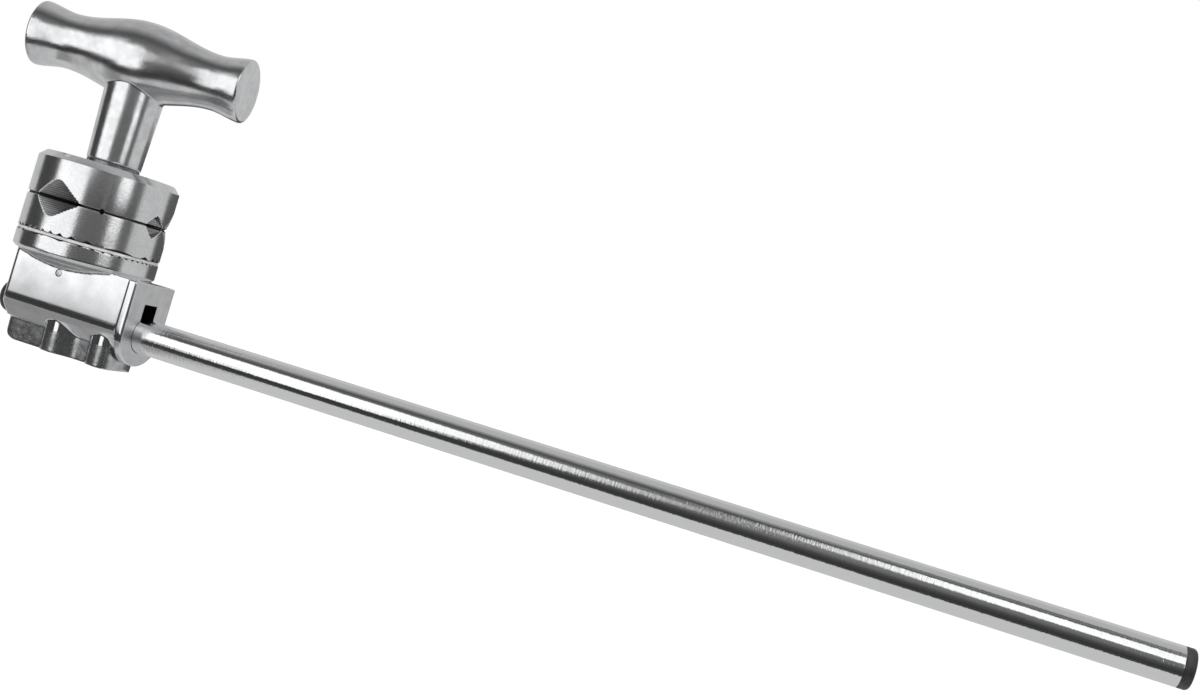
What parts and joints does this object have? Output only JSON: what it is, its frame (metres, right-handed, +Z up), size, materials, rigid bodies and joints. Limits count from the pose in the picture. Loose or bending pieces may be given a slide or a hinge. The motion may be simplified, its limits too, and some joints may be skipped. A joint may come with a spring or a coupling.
{
  "type": "grip arm",
  "caption": "Long chromed rod with a clamping head: two channelled jaws on a toothed disc, closed by a T-handle.",
  "frame": {"origin": "on the rod's axis where the clamp's axis crosses it, inside the block", "axes": "+X along the rod to its free end, +Z up along the clamp's axis to the T-handle, +Y across the block"},
  "size_m": [0.5531, 0.0636, 0.1587],
  "materials": {
    "polished_casting": "polished cast aluminium",
    "handle_casting": "satin-polished cast aluminium",
    "turned_aluminium": "turned aluminium with fine tool rings",
    "chrome": "bright chrome plate",
    "zinc_steel": "zinc-plated steel",
    "pin_steel": "plain steel",
    "bearing_steel": "ground steel",
    "pale_ring": "pale moulded friction plastic",
    "black_plastic": "black moulded plastic"
  },
  "bodies": {
    "arm": {"base_casting": "polished_casting", "arm_rod": "chrome", "free_end_cap": "black_plastic", "head_end_cap": "black_plastic", "clamp_bolt": "zinc_steel", "bolt_pin": "pin_steel", "rod_pin": "pin_steel", "friction_ring": "pale_ring"},
    "lower_jaw": {"lower_jaw": "turned_aluminium", "jaw_dowel_front": "pin_steel", "jaw_dowel_rear": "pin_steel", "jaw_spring": "zinc_steel"},
    "upper_jaw": {"upper_jaw": "turned_aluminium", "lower_race": "bearing_steel"},
    "thrust_bearing": {"needle_cage": "bearing_steel"},
    "handle": {"t_handle": "handle_casting", "handle_insert": "zinc_steel", "upper_race": "bearing_steel"}
  },
  "joints": [
    {"name": "jaws_turn", "type": "hinge", "parent": "arm", "child": "lower_jaw", "pos_m": [0, 0, 0.0491], "axis": [0, 0, 1], "continuous": true},
    {"name": "handle_rise", "type": "slide", "parent": "arm", "child": "thrust_bearing", "axis": [0, 0, 1], "range_m": [0, 0.0096]},
    {"name": "handle_turn", "type": "hinge", "parent": "thrust_bearing", "child": "handle", "pos_m": [0, 0, 0.0723], "axis": [0, 0, 1], "range_deg": [0, 2160]},
    {"name": "jaw_lift", "type": "slide", "parent": "lower_jaw", "child": "upper_jaw", "axis": [0, 0, 1], "range_m": [0, 0.0096], "deforming": ["jaw_spring"]}
  ],
  "couplings": [
    {"joint": "handle_rise", "follows": "handle_turn", "m_per_rad": 0.00025266},
    {"joint": "jaw_lift", "follows": "handle_turn", "m_per_rad": 0.00025266}
  ]
}
